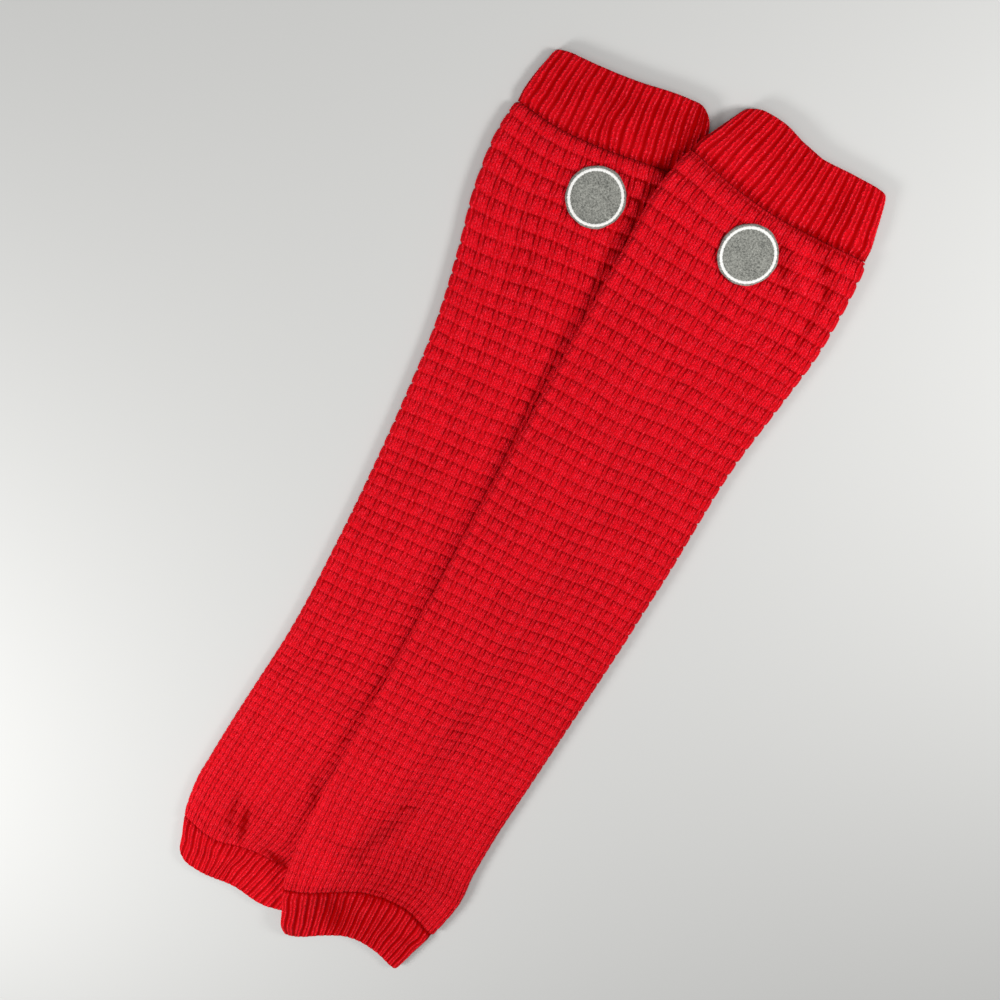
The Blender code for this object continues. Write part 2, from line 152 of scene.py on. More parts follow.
# Painted light, which says how lit the yarn is painted: painted shade at the seams and under the
# tube, and how far it is lowered, as painted shade, in a rib's furrow and along a seam, with the
# reach of that on a leg and on a rib
SEAM_SHADE = 2.2
LEG_PAINTED_LIGHT_AT_SEAM = 0.25
RIB_PAINTED_LIGHT_AT_SEAM = 0.2
UNDERSIDE_PAINTED_LIGHT = 0.75
RIB_FURROW_SHADE = 0.36
RIB_FURROW_SHADE_TOP = 0.5
SEAM_SHADOW_LINE = {"top_seam": 0.15, "ankle_seam": 1.1}
SEAM_SHADOW_OF_LOWER_LEG = 0.35
SEAM_SHADOW_ON_LEG = 1.5
SEAM_SHADOW_ON_RIB = 3.4

# Radius of a leg's rounded end
LEG_END_ROUND = 2.0

# The upper panel's crown, and how the right leg warmer climbs over the left one
CROWN = 1.2
CROWN_POWER = 0.8
CROWN_FADE = 6.0
CREASE_SHARE_OF_HOLLOW = 0.3
REST_CLEARANCE = 0.6
RAMP_INSIDE = 1.5
RAMP_OUTSIDE = 14.0
UPPER_RAMP_INSIDE = 6.0
UPPER_RAMP_OUTSIDE = 22.0
RAMP_SOFT = 5.0
DROOP_START = 4.0
DROOP_LENGTH = 14.0
SEAM_STEP_LENGTH = 12.0

# Each ribbed end, with the rings that it runs between
ENDS = (("top_rib", "top_seam", "top_edge"), ("ankle_rib", "ankle_seam", "bottom_edge"))

# Shares of a ring's width: between two places, left uncovered, where y is read, and at a corner
LEAST_STEP = 0.09
LEAST_UNCOVERED = 0.45
ACROSS = (0.0, 0.25, 0.5, 0.75, 1.0)
CORNER_REACH = 0.13
PLACES_ON_UNCOVERED = 5
SETTLE_ROUNDS = 4
RINGS_MEASURED = 41

# The rings' y in the tables is measured from a place this far above the frame's origin
TABLE_SHIFT_Y = 0.25

# One row for each ring of knit that was measured, from the top edge down. x is the outermost
# place at each side. y is read at five places across, and a corner is a shift of y at a side.
Y_COLUMNS = ("y_left", "y_quarter", "y_middle", "y_three_quarter", "y_right")
COLUMNS = ("x_left", "x_right", *Y_COLUMNS, "corner_left", "corner_right")
RIGHT_RINGS = (
    ("top_edge", 2.5, 67.5, 242.5, 242.2, 237.9, 238.0, 238.2, -3.0, -1.0),
    ("top_rib", -3.0, 71.8, 230.5, 228.5, 224.8, 224.8, 225.2, -1.0, 0.0),
    ("top_seam", -8.5, 75.2, 218.5, 214.0, 211.5, 211.7, 212.5, 0.0, 0.0),
    ("shin", -12.4, 77.4, 202.0, 199.0, 197.5, 197.8, 198.5, 0.0, 0.0),
    ("shin", -13.0, 79.0, 178.0, 176.0, 175.0, 174.5, 174.0, 0.0, 0.0),
    ("shin", -13.4, 77.6, 151.0, 150.5, 150.0, 150.0, 150.0, 0.0, 0.0),
    ("shin", -13.6, 75.0, 115.0, 115.0, 115.0, 115.0, 115.0, 0.0, 0.0),
    ("calf", -13.9, 76.2, 60.0, 60.0, 60.0, 60.0, 60.0, 0.0, 0.0),
    ("calf", -14.3, 76.6, 0.0, 0.0, 0.0, 0.0, 0.0, 0.0, 0.0),
    ("calf", -14.6, 76.0, -61.0, -60.5, -60.0, -59.5, -59.0, 0.0, 0.0),
    ("calf", -15.4, 75.6, -102.5, -101.5, -100.0, -99.0, -98.5, 0.0, 0.0),
    ("ankle", -16.0, 75.6, -130.0, -128.5, -125.0, -123.5, -123.0, 0.0, 0.0),
    ("ankle", -15.2, 76.5, -157.0, -154.0, -150.0, -148.5, -149.0, 0.0, 0.0),
    ("ankle", -14.0, 78.6, -184.0, -177.0, -172.0, -169.5, -172.5, 0.0, 0.0),
    ("ankle_seam", -10.8, 75.4, -207.5, -197.5, -188.8, -187.2, -197.5, 0.0, 0.0),
    ("ankle_rib", -5.0, 72.2, -226.0, -215.0, -206.0, -205.8, -215.0, 1.0, 0.5),
    ("bottom_edge", 1.5, 68.5, -247.0, -234.4, -224.0, -224.9, -233.0, 4.0, 1.5),
)
LEFT_RINGS = (
    ("top_edge", -71.8, -5.2, 227.8, 228.6, 230.3, 233.2, 234.6, -1.5, -6.0),
    ("top_rib", -75.0, -1.5, 215.3, 215.0, 216.8, 219.8, 221.5, 0.0, -1.5),
    ("top_seam", -77.0, 3.5, 203.7, 201.9, 203.3, 206.4, 208.5, 0.0, 0.0),
    ("shin", -79.0, 10.5, 187.5, 186.0, 186.5, 188.5, 191.0, 0.0, 0.0),
    ("shin", -77.6, 12.6, 167.0, 168.5, 170.5, 172.5, 174.5, 0.0, 0.0),
    ("shin", -73.6, 16.8, 146.0, 149.0, 152.0, 154.0, 156.0, 0.0, 0.0),
    ("shin", -68.6, 22.0, 114.0, 115.5, 117.5, 119.0, 120.5, 0.0, 0.0),
    ("calf", -65.8, 24.8, 57.5, 59.5, 61.0, 62.5, 64.0, 0.0, 0.0),
    ("calf", -65.5, 25.0, -4.6, -3.1, -1.5, 0.1, 1.6, 0.0, 0.0),
    ("calf", -67.8, 22.8, -66.0, -65.0, -64.0, -63.0, -62.0, 0.0, 0.0),
    ("calf", -71.0, 19.5, -95.0, -95.0, -95.0, -95.0, -95.0, 0.0, 0.0),
    ("ankle", -74.2, 16.4, -125.0, -126.5, -127.5, -126.5, -125.5, 0.0, 0.0),
    ("ankle", -76.7, 13.8, -153.0, -156.0, -159.0, -158.5, -157.0, 0.0, 0.0),
    ("ankle", -78.0, 12.0, -173.0, -177.0, -180.0, -179.0, -178.0, 0.0, 0.0),
    ("ankle_seam", -76.4, 5.0, -197.0, -202.3, -197.6, -198.0, -202.0, 0.0, 0.0),
    ("ankle_rib", -73.4, 3.2, -211.0, -215.5, -212.3, -214.2, -215.0, 1.5, 0.5),
    ("bottom_edge", -70.8, 1.2, -226.5, -228.7, -227.0, -230.4, -228.5, 6.0, 2.0),
)

# Soft troughs in the upper panels, each by its middle, size, turn and depth, less than 0 on a
# ridge. The first rows are the solids' own, and the rest are the smaller creases between them.
CREASE_COLUMNS = ("x", "y", "length", "half_width", "turn_degrees", "depth")
RIGHT_CREASES = (
    (62.0, 181.0, 30.0, 6.0, -17.0, 1.1),
    (16.0, -125.0, 30.0, 6.0, 16.0, 0.8),
    (18.0, -160.0, 48.0, 9.0, 82.0, 0.9),
    (4.0, 207.0, 26.0, 5.0, -20.0, 0.7),
    (8.0, 168.0, 34.0, 4.5, 12.0, 0.35),
    (56.0, -168.0, 40.0, 5.0, 70.0, 0.4),
    (40.0, -184.0, 22.0, 3.5, 96.0, 0.5),
    (47.6, 198.5, 28.0, 3.0, -52.0, 1.4),
    (54.3, 196.5, 30.0, 3.2, -49.0, -1.1),
    (61.3, 204.6, 18.0, 3.0, -24.0, 1.0),
    (68.6, 184.0, 46.0, 3.2, -82.0, 0.8),
    (53.5, 222.5, 26.0, 5.0, 97.0, 1.0),
    (21.0, -141.0, 60.0, 7.0, 77.0, 0.4),
    (14.0, -210.0, 34.0, 9.0, 80.0, 1.0),
)
LEFT_CREASES = (
    (-46.0, -186.0, 30.0, 6.0, 95.0, 1.3),
    (-53.0, -165.0, 34.0, 6.0, 108.0, 0.8),
    (-61.0, -164.0, 24.0, 4.0, -17.0, 0.7),
    (-51.0, -142.0, 30.0, 5.0, -7.0, 0.6),
    (-52.0, 152.0, 46.0, 7.0, 14.0, 0.7),
    (-34.0, -176.0, 26.0, 3.0, 64.0, 0.6),
    (-66.0, -182.0, 20.0, 2.6, 20.0, 0.5),
    (-24.0, -150.0, 36.0, 4.0, 24.0, 0.4),
    (-40.0, 168.0, 30.0, 4.0, 10.0, 0.35),
    (-48.7, -177.2, 36.0, 2.6, 106.0, 1.2),
    (-43.0, -176.0, 34.0, 3.2, 106.0, -0.9),
    (-33.2, -193.5, 32.0, 2.5, -1.0, 0.8),
)

# Where the knit lies in painted shade along a crease or an edge, or in painted light on a ridge, by
# the same columns: the last one is how far the painted light is lowered
RIGHT_SHADES = (
    (47.9, 195.6, 26.0, 2.4, -52.6, 0.72),
    (56.1, 197.2, 29.9, 3.2, -43.8, -0.35),
    (59.3, 205.9, 17.6, 1.9, -35.5, 0.55),
    (65.2, 198.5, 22.5, 1.9, -61.4, 0.55),
    (68.8, 180.5, 42.2, 1.9, -85.1, 0.5),
    (50.2, 211.6, 28.5, 1.8, 1.0, 0.3),
    (54.0, 222.7, 24.3, 5.0, -79.9, 0.4),
    (22.2, -142.5, 68.1, 5.5, -106.1, 0.5),
    (20.8, -167.9, 24.0, 3.0, -42.8, 0.25),
    (0.0, -160.0, 29.8, 1.2, 4.0, 0.5),
    (25.5, -122.9, 16.2, 1.6, 32.5, 0.5),
    (20.5, -210.5, 43.9, 6.5, -59.3, 0.45),
    (30.4, -57.1, 102.1, 3.5, -98.6, 0.2),
    (44.0, -172.0, 100.0, 24.0, 62.0, 0.45),
    (32.0, -213.0, 140.0, 17.0, 4.0, 0.5),
    (35.0, 232.0, 120.0, 12.0, -6.0, 0.3),
)
LEFT_SHADES = (
    (-52.3, -181.7, 37.7, 1.9, -83.6, 0.6),
    (-44.6, -182.5, 31.5, 2.5, -83.2, 1.1),
    (-39.5, -181.9, 18.4, 2.4, -83.4, -0.3),
    (-63.4, -194.9, 16.0, 1.2, -27.0, 0.5),
    (-18.4, -195.4, 22.8, 2.8, -20.2, 1.2),
    (-19.2, -143.5, 31.4, 3.0, -67.5, 0.5),
    (-43.5, 150.6, 44.9, 4.0, -67.2, 0.25),
    (-42.6, 8.0, 38.5, 3.5, -72.1, 0.18),
    (-18.0, -110.0, 190.0, 2.2, 89.0, 0.35),
    (-45.0, -182.0, 90.0, 24.0, 3.0, 0.22),
    (-11.0, 212.0, 130.0, 5.5, 86.0, 0.8),
    (-15.5, 120.0, 170.0, 2.0, 89.0, 0.2),
    (-38.0, 221.0, 110.0, 12.0, 5.0, 0.38),
)

# Round patches
RIGHT_PATCH = (31.8, 194.3)
LEFT_PATCH = (-31.8, 186.1)
PATCH_RADIUS = 12.0
PATCH_THICKNESS = 1.2
PATCH_GAP = 0.45
RING_MIDDLE = 10.58
RING_HALF_WIDTH = 0.63
RING_RISE = 0.42
RING_SUNK = 0.1
RING_ROWS = 9
RING_STITCHES = 168
RING_POWER = 0.7
STITCH_DEPTH = 0.2
POINTS_PER_STITCH = 4

# Waves round the felt's edge, as shares of its radius, and round the stitched ring's edges, in
# millimetres: size, count and phase
PATCH_WAVES = ((0.008, 5.0, 1.0), (0.006, 11.0, 0.0))
RING_WAVES = ((0.06, 37.0, 0.0), (0.05, 61.0, 2.0))

# The felt disc's section from the middle of its underside round to the middle of its face, as
# shares of its radius and of its height over the knit's crests, below 0 where it lies in among
# them. Its edge is uneven only outside a share of its radius.
PATCH_AROUND = 120
PATCH_EVEN_INSIDE = 0.94
PATCH_PROFILE = (
    (0.3, -0.3), (0.7, -0.3), (0.97, -0.3), (0.995, -0.12), (1.0, 0.35), (0.995, 0.7),
    (0.98, 0.88), (0.955, 0.98), (0.93, 1.0), (0.85, 1.0), (0.75, 1.0), (0.6, 1.0), (0.45, 1.0),
    (0.3, 1.0), (0.15, 1.0),
)

# The camera's place and the direction that the pair's plane is seen in
CAMERA_PLACE = (-32.3, 222.65, 420.0)
CAMERA_FOCAL = 1000.0
HORIZON = (0.0001404, -0.0003916)
PICTURE_TURN = 28.0
SENSOR = 36.0
PICTURE = 1000.0
CLIP_START = 0.01

# Square lights, in metres: name, place, target, side and power
LIGHTS = (
    ("upper_right", (0.30, 0.32, 0.35), (0.03, 0.12, 0.0), 0.14, 1.85),
    ("lower_left", (-0.36, -0.32, 0.4), (-0.02, -0.12, 0.0), 0.22, 3.3),
    ("overhead", (0.0, 0.0, 1.6), (0.0, 0.0, 0.0), 1.2, 9.0),
)
SKY = (1.0, 1.0, 1.0, 1.0)
SKY_STRENGTH = 0.34

# The floor is just below the knit's flat underside, so that the two don't share a plane
FLOOR_HALF_SIDE = 4000.0
FLOOR_LEVEL = -0.1
FLOOR_PAINT = (0.45, 0.45, 0.44, 1.0)
FLOOR_ROUGHNESS = 0.9

# Colours of the dyed yarn in painted shade (with its darker tone), in painted light, in painted
# highlights on lit fibres, in the furrows' painted shade and in its sheen, and of the patches
YARN_DARK_AND_SHADED = (0.37, 0.0006, 0.0024, 1.0)
YARN_LIT = (0.72, 0.0015, 0.009, 1.0)
YARN_FIBRE_HIGHLIGHT = (0.84, 0.036, 0.066, 1.0)
YARN_SHADE = (0.25, 0.0001, 0.0004, 1.0)
YARN_SHEEN = (1.0, 0.35, 0.38, 1.0)
FELT_DARK = (0.055, 0.056, 0.05, 1.0)
FELT_LIGHT = (0.32, 0.322, 0.288, 1.0)
THREAD = (0.72, 0.72, 0.69, 1.0)
THREAD_DEEP = (0.42, 0.42, 0.40, 1.0)

# Noise in the materials: its scale to a metre, its detail and, where given, its roughness
SWAY_NOISE = (520.0, 2.0)
DRIFT_NOISE = (420.0, 2.0)
FIBRE_NOISE = (1500.0, 1.0)
FLECK_NOISE = (700.0, 3.0)
CLOUD_NOISE = (60.0, 2.0)
FELT_FIBRE_NOISE = (1500.0, 4.0, 0.75)
FELT_CLOUD_NOISE = (260.0, 2.0)
THREAD_NOISE = (3200.0, 2.0)

# Yarn: the sway of its strands, their place and half width on a wale and on a rib, the plies to a
# course with their drift and their least height, and how far loose fibres rise
SWAY = 0.5
WALE_STRAND_PLACE = 0.25
WALE_STRAND = 0.25
RIB_STRAND_PLACE = 0.2
RIB_STRAND = 0.13
PLIES = 1.35
PLY_DRIFT = 2.6
PLY_LOW = 0.38
FIBRE_RISE = 0.3

# How lit the yarn is painted: painted shade by its painted light, a painted highlight on its strands,
# and tone by chance; and from which noise painted highlights on lit fibres show
LIT_BY_PAINTED_LIGHT = 0.6
LIT_BY_STRAND = 0.84
LIT_BY_FLECK = 0.4
LIT_BY_CLOUD = 0.3
LIT_BASE = -0.44
CLOUD_BASE = -0.05
FIBRE_HIGHLIGHT_START = 0.46
FIBRE_HIGHLIGHT_GAIN = 3.4

# Painted light below which a furrow gets painted shade, and how fast. The yarn's gloss goes with it.
SHADE_START = 0.22
SHADE_GAIN = 1.3
YARN_GLOSS = 0.06

# The felt's contrast between its dark and its light fibres, and the thread's
FELT_GAIN = 2.6
FELT_BASE = -0.85
FELT_CLOUDS = 0.5
THREAD_GAIN = 1.2
THREAD_BASE = 0.15


def smooth_step(value):
    """0 below 0 and 1 above 1, with a soft rise between them."""
    value = np.clip(value, 0.0, 1.0)
    return value * value * (3.0 - 2.0 * value)


def rise_from(value, start, length):
    """0 up to start and 1 from a length past it, with a soft rise between them."""
    return smooth_step((value - start) / length)


def curve_through(knots, values, place):
    """A smooth curve through the values at rising knots, read at many places.

    Where each knot has an array of values instead of one, every place reads a curve of its own.
    """
    knots = np.asarray(knots, float)
    values = np.asarray(values, float)
    slopes = np.gradient(values, knots, axis=0)
    place = np.asarray(place, float)
    first = np.clip(np.searchsorted(knots, place, side="right") - 1, 0, len(knots) - 2)

    def pick(table, index):
        if table.ndim == 1:
            return table[index]
        full = np.broadcast_to(table, (len(knots), *place.shape))
        return np.take_along_axis(full, index[None], axis=0)[0]

    step = knots[first + 1] - knots[first]
    f = (place - knots[first]) / step
    low, high = pick(values, first), pick(values, first + 1)
    start = low + pick(slopes, first) * step * f * (1.0 - f) ** 2
    rise = (high - low) * f * f * (3.0 - 2.0 * f)
    return start + rise - pick(slopes, first + 1) * step * f * f * (1.0 - f)


class LegWarmer:
    """One leg warmer's plan: where each ring of knit runs, and which one lies below or above it."""

    def __init__(self, rings, creases, shades, cells, start):
        table = np.array([row[1:] for row in rings])
        self.columns = {name: table[:, i] for i, name in enumerate(COLUMNS)}
        self.along = -self.columns["y_middle"]
        self.seams = {row[0]: row[COLUMNS.index("y_middle") + 1] for row in rings}
        self.creases = creases
        self.shades = shades
        self.cells = cells
        self.start = start
        self.below = None
        self.above = None

    def read(self, column, y_middle):
        """A column of the table at the ring whose middle is at y_middle."""
        return curve_through(self.along, self.columns[column], -y_middle)

    def sides(self, y_middle):
        """The outermost x at the left and at the right of a ring."""
        return self.read("x_left", y_middle), self.read("x_right", y_middle)

    def outline(self, side, y):
        """The x of the left or right outline at a y, held level past the open edges."""
        ends = self.columns["y_" + side] + self.columns["corner_" + side]
        place = np.clip(-y, -ends[0], -ends[-1])
        return curve_through(-ends, self.columns["x_" + side], place)

    def crossing(self, other, side, y_middle):
        """The x where a ring of this leg warmer passes the other one's outline."""
        left, right = self.sides(y_middle)
        edge = other.outline(side, y_middle)
        for _ in range(SETTLE_ROUNDS):
            across = np.clip((edge - left) / (right - left), 0.0, 1.0)
            edge = other.outline(side, self.y_at(y_middle, across))
        return edge

    def covered_from(self, y_middle):
        """The x from which the upper panel is under the other leg warmer."""
        left, right = self.sides(y_middle)
        edge = self.crossing(self.above, "left", y_middle)
        width = right - left
        return np.clip(edge, left + LEAST_UNCOVERED * width, right - LEAST_STEP * width)

    def y_at(self, y_middle, across):
        """A ring's y at places across it, where 0 is its left side and 1 its right side."""
        row = [self.read(name, y_middle) for name in Y_COLUMNS]
        near_left = np.clip(1.0 - across / CORNER_REACH, 0.0, 1.0) ** 2
        near_right = np.clip(1.0 - (1.0 - across) / CORNER_REACH, 0.0, 1.0) ** 2
        corners = self.read("corner_left", y_middle) * near_left
        corners = corners + self.read("corner_right", y_middle) * near_right
        return curve_through(ACROSS, row, across) + corners

    def bed(self, x, y):
        """How high the lower and the upper panel are lifted by the leg warmer below."""
        if self.below is None:
            return 0.0 * x, 0.0 * x
        lower = self.below
        past_edge = x - lower.outline("right", y)
        ramp = np.clip((RAMP_OUTSIDE - past_edge) / (RAMP_OUTSIDE + RAMP_INSIDE), 0.0, 1.0)
        soft_ramp = smooth_step((UPPER_RAMP_OUTSIDE - past_edge)
                                / (UPPER_RAMP_OUTSIDE + UPPER_RAMP_INSIDE))
        past_top = y - lower.seams["top_edge"] - DROOP_START
        past_bottom = lower.seams["bottom_edge"] - DROOP_START - y
        droop = smooth_step(1.0 - np.maximum(past_top, past_bottom) / DROOP_LENGTH)
        past_seam = np.maximum(y - lower.seams["top_seam"], lower.seams["ankle_seam"] - y)
        on_rib = rise_from(past_seam, RAMP_SOFT, SEAM_STEP_LENGTH)
        leg_top = 2.0 * LEG_WALL + LEG_HOLLOW + BAND_RISE
        rib_top = 2.0 * RIB_WALL + RIB_HOLLOW + RIB_RISE
        height = (leg_top + (rib_top - leg_top) * on_rib + REST_CLEARANCE) * droop
        return height * ramp, height * soft_ramp

    def crown(self, x, y, across):
        """Height that the upper panel rises by, less where a crease or a leg lies on it."""
        rise = CROWN * np.sin(math.pi * np.clip(across, 0.0, 1.0)) ** CROWN_POWER
        if self.above is not None:
            edge = self.above.outline("left", y)
            rise = rise * smooth_step((edge - CROWN_FADE * 0.5 - x) / CROWN_FADE)
        rise = rise - trough_depth_and_shade(self.creases, x, y)
        return np.maximum(rise, -CREASE_SHARE_OF_HOLLOW * LEG_HOLLOW)

    def seam_shadow_line(self, seam):
        """How far the painted light is lowered along a seam: a painted shadow line, weaker on the lower
        leg warmer.
        """
        return SEAM_SHADOW_LINE[seam] * (1.0 if self.above is None else SEAM_SHADOW_OF_LOWER_LEG)


def trough_depth_and_shade(rows, x, y):
    """The depth at places of the soft troughs in rows, less than 0 on a ridge; for the shade rows it is
    how far the painted light is lowered as painted shade, or raised on a ridge as painted light.
    """
    depth = 0.0 * x
    for row in rows:
        trough = dict(zip(CREASE_COLUMNS, row))
        turn = math.radians(trough["turn_degrees"])
        dx, dy = x - trough["x"], y - trough["y"]
        lengthwise = (dx * math.cos(turn) + dy * math.sin(turn)) / (trough["length"] * 0.5)
        sideways = (dy * math.cos(turn) - dx * math.sin(turn)) / trough["half_width"]
        along = trough["depth"] * np.clip(1.0 - lengthwise**2, 0.0, 1.0)
        depth = depth + along * np.exp(-(sideways**2))
    return depth


def panel_places(leg, y_middle):
    """The x of places across the lower panel, with the top and the foot of the ramp among them."""
    left, right = leg.sides(y_middle)
    if leg.below is None:
        covered = leg.covered_from(y_middle)
        steps = range(1, PLACES_ON_UNCOVERED + 1)
        spread = [left + (covered - left) * i / PLACES_ON_UNCOVERED for i in steps]
        return np.stack([*spread, 0.5 * (covered + right)], axis=-1)
    edge = leg.crossing(leg.below, "right", y_middle)
    least = LEAST_STEP * (right - left)
    top = np.clip(edge - RAMP_INSIDE, left + 2.0 * least, right - 4.0 * least)
    foot = np.clip(edge + RAMP_OUTSIDE, top + 2.0 * least, right - 2.0 * least)
    return np.stack([0.5 * (left + top), top, 0.5 * (top + foot), foot,
                     foot + (right - foot) / 3.0, foot + (right - foot) * 2.0 / 3.0], axis=-1)


def upper_path(width, radius, fractions):
    """Places over the top of a section at fractions of its length: x, z, outward x and z."""
    arc = math.pi * radius
    straight = width - 2.0 * radius
    run = fractions * (2.0 * arc + straight)
    left_angle = np.clip(run, 0.0, arc) / radius
    right_angle = np.clip(2.0 * arc + straight - run, 0.0, arc) / radius
    lowest = np.minimum(left_angle, right_angle)
    x = radius * (1.0 - np.sin(left_angle) + np.sin(right_angle)) + np.clip(run - arc, 0.0, straight)
    return x, radius * (1.0 - np.cos(lowest)), np.sin(right_angle) - np.sin(left_angle), -np.cos(lowest)


def places_between(start, end, repeat, places):
    """Rising places from start to end: both of these, and what a repeated row has between."""
    first, last = math.floor(start / repeat), math.ceil(end / repeat)
    row = np.array([k * repeat + place for k in range(first, last) for place in places])
    inside = row[(row > start + LEAST_PLACE) & (row < end - LEAST_PLACE)]
    return np.concatenate([[start], inside, [end]])


def soft_noise(rng, rows, columns, layers):
    """Smooth random numbers at rows and columns, added up from layers.

    A layer has the rows and the columns from one random number to the next, and their spread.
    """
    total = 0.0
    for row_step, column_step, spread in layers:
        total = total + noise_layer(rng, rows / row_step, columns / column_step, spread)
    return total


def noise_layer(rng, rows, columns, spread):
    """Smooth random numbers at rows and columns, with one of its own at each whole place."""
    row, column = np.floor(rows).astype(int), np.floor(columns).astype(int)
    down = smooth_step(rows - row)[:, None]
    along = smooth_step(columns - column)[None, :]
    row, column = (row - row.min())[:, None], (column - column.min())[None, :]
    grid = rng.normal(0.0, spread, (row.max() + 2, column.max() + 2))
    upper = grid[row, column] * (1.0 - along) + grid[row, column + 1] * along
    lower = grid[row + 1, column] * (1.0 - along) + grid[row + 1, column + 1] * along
    return upper * (1.0 - down) + lower * down


class Knit:
    """What a tube of knit is made with: its thickness, and the places of its wales over the top."""

    def __init__(self, wall, hollow, rise, u):
        self.wall = wall
        self.radius = wall + 0.5 * hollow
        self.rise = rise
        self.u = u
        self.fractions = (u - u[0]) / (u[-1] - u[0])


class Rings(NamedTuple):
    """Rings of knit along a tube: where they run, and how the knit stands on each.

    y is where a ring crosses the tube's middle, heights the knit's height over its top, offset
    how far it is moved out, v its place along the wales in courses, and painted_light how lit its
    yarn is painted, with painted shade in its furrows, creases and seams. The points slide by
    slide_u wales round the ring and by slide_y along the tube.
    """

    y: np.ndarray
    heights: np.ndarray
    offset: np.ndarray
    v: np.ndarray
    painted_light: np.ndarray
    slide_u: np.ndarray
    slide_y: np.ndarray

    def turned_round(self):
        """The same rings from the other end."""
        return Rings(*(part[::-1] for part in self))


def ring_points(leg, knit, rings):
    """Points of rings: over the top with the knit's heights, then back under the tube."""
    y_middle, offset = rings.y[:, None], rings.offset[:, None]
    left, right = leg.sides(y_middle)
    width = right - left - 2.0 * knit.rise
    base_left = left + knit.rise
    fractions = knit.fractions + rings.slide_u / (knit.u[-1] - knit.u[0])
    x, z, out_x, out_z = upper_path(width, knit.radius, fractions)
    under = panel_places(leg, y_middle)[:, 0, ::-1] - base_left
    raised = knit.rise * rings.heights * smooth_step(z / knit.radius) + offset
    ring_x = np.concatenate([x + out_x * raised, under], axis=1)
    ring_z = np.concatenate([z + out_z * raised, 0.0 * under - offset], axis=1)
    top_share = smooth_step(ring_z / (2.0 * knit.radius))
    top_share[:, x.shape[1]:] = 0.0
    across = (ring_x + knit.rise) / (width + 2.0 * knit.rise)
    world_x = base_left + ring_x
    world_y = leg.y_at(y_middle, across)
    world_y[:, : x.shape[1]] += rings.slide_y
    lower_lift, upper_lift = leg.bed(world_x, world_y)
    lift = lower_lift + top_share * (upper_lift - lower_lift)
    lift = lift + top_share**2 * leg.crown(world_x, world_y, across)
    return np.stack([world_x, world_y + TABLE_SHIFT_Y, ring_z + lift], axis=2)


def add_object(name, data):
    """A new object in the scene."""
    item = bpy.data.objects.new(name, data)
    bpy.context.scene.collection.objects.link(item)
    return item


def make_mesh(name, points, faces, uv=None, painted_light=None):
    """A smooth mesh object in metres, with its knit coordinates and its painted light as attributes."""
    mesh = bpy.data.meshes.new(name)
    mesh.from_pydata(np.asarray(points) * METRES, [], faces)
    mesh.validate()
    if uv is not None:
        layer = mesh.uv_layers.new(name="knit")
        layer.uv.foreach_set("vector", np.asarray(uv, np.float32).ravel())
    if painted_light is not None:
        attribute = mesh.attributes.new("painted_light", "FLOAT", "POINT")
        attribute.data.foreach_set("value", np.asarray(painted_light, np.float32))
    mesh.shade_smooth()
    return add_object(name, mesh)


def make_tube(name, leg, knit, outer, inner):
    """A closed wall of knit between its outer and its inner rings."""
    points = np.concatenate([ring_points(leg, knit, outer), ring_points(leg, knit, inner)])
    rings, count = points.shape[:2]
    tops = len(knit.u)
    painted_light = np.zeros((rings, count))
    # Painted light: a plain painted shade under the tube, and on its top the rings' painted light less
    # the painted shade of the shade rows
    painted_light[: len(outer.y), tops:] = UNDERSIDE_PAINTED_LIGHT
    top_x, top_y = points[: len(outer.y), :tops, 0], points[: len(outer.y), :tops, 1] - TABLE_SHIFT_Y
    painted_light[: len(outer.y), :tops] = outer.painted_light - trough_depth_and_shade(leg.shades, top_x, top_y)
    under = np.linspace(knit.u[-1], 2.0 * knit.u[-1] - knit.u[0], count - tops + 2)[1:]
    u = np.concatenate([knit.u, under])
    v = np.concatenate([outer.v, inner.v])
    row, column = np.meshgrid(np.arange(rings), np.arange(count), indexing="ij")
    next_row, next_column = (row + 1) % rings, (column + 1) % count
    faces = np.stack([row * count + column, next_row * count + column,
                      next_row * count + next_column, row * count + next_column], axis=2)
    uv = np.stack([u[column], v[row], u[column], v[next_row],
                   u[column + 1], v[next_row], u[column + 1], v[row]], axis=2)
    return make_mesh(name, points.reshape(-1, 3), faces.reshape(-1, 4), uv.reshape(-1, 2),
                     painted_light.ravel())


def inner_rings(knit, first_y, last_y, count):
    """Plain rings of the wall's inner side."""
    y = np.linspace(first_y, last_y, count)
    plain = np.zeros((count, len(knit.u)))
    return Rings(y, plain, np.full(count, -knit.wall), y, plain, plain, plain)


def end_round(distance, radius):
    """How far a rounded edge has drawn in at distances from its end."""
    near = np.clip(radius - distance, 0.0, radius)
    return radius - np.sqrt(radius * radius - near * near)


